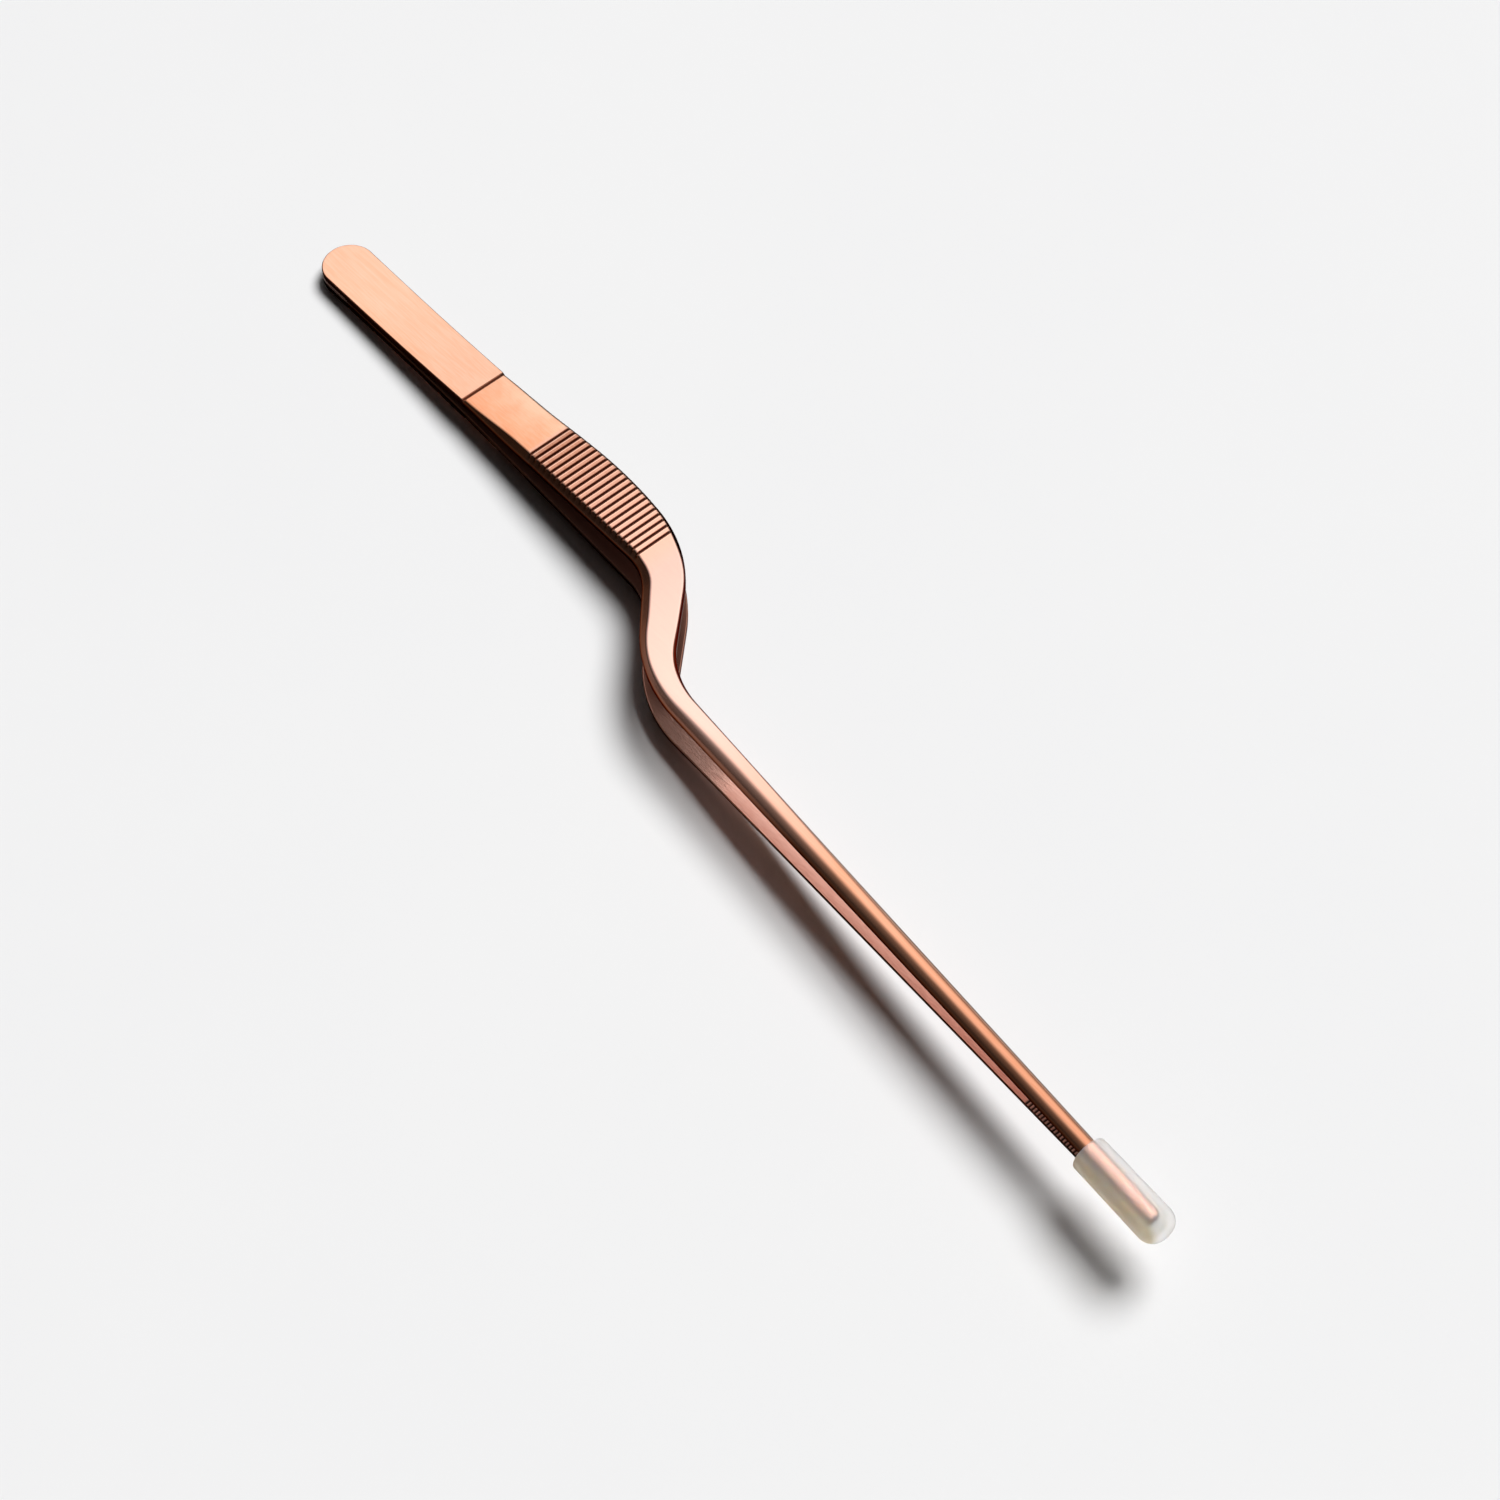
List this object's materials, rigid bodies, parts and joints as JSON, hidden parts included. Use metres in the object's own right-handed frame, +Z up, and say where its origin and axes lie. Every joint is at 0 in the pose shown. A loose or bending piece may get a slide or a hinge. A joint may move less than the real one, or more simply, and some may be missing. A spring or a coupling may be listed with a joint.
{
  "type": "offset bar tongs",
  "caption": "Slim offset tongs for ice and garnish: two mirrored spring arms welded at the heel, ribbed grips, cranked necks, half-round shanks and a soft cover over the closed tips.",
  "frame": {"origin": "centre of the whole tool's bounding box in plan, on the table it lies on", "axes": "+X from the heel to the tips, along the handle; +Y across the tool, away from the side its shanks are offset to; +Z up, with the tool lying on its lower arm"},
  "size_m": [0.2104, 0.0292, 0.0134],
  "materials": {
    "coated_steel": "rose-gold coated stainless steel, satin brushed on the flats and polished on the shanks",
    "weld_seam": "ground and coated edge weld",
    "silicone": "milky translucent silicone rubber"
  },
  "bodies": {
    "lower_arm": {"arm_lower": "coated_steel", "heel_weld": "weld_seam"},
    "upper_arm": {"arm_upper": "coated_steel"},
    "cover": {"tip_cap": "silicone"}
  },
  "joints": [
    {"name": "arm_open", "type": "hinge", "parent": "lower_arm", "child": "upper_arm", "pos_m": [-0.10516, 0.00959, 0.0019], "axis": [0, -1, 0], "range_deg": [0, 4.5], "stiffness_Nm_per_rad": 0.6, "deforming": ["tip_cap"]},
    {"name": "cover_pull", "type": "slide", "parent": "lower_arm", "child": "cover", "axis": [0.9979, -0.0487, 0.0431], "range_m": [0, 0.0401]}
  ],
  "couplings": [
    {"joint": "cover_pull", "follows": "arm_open", "m_per_rad": 0.5093}
  ]
}
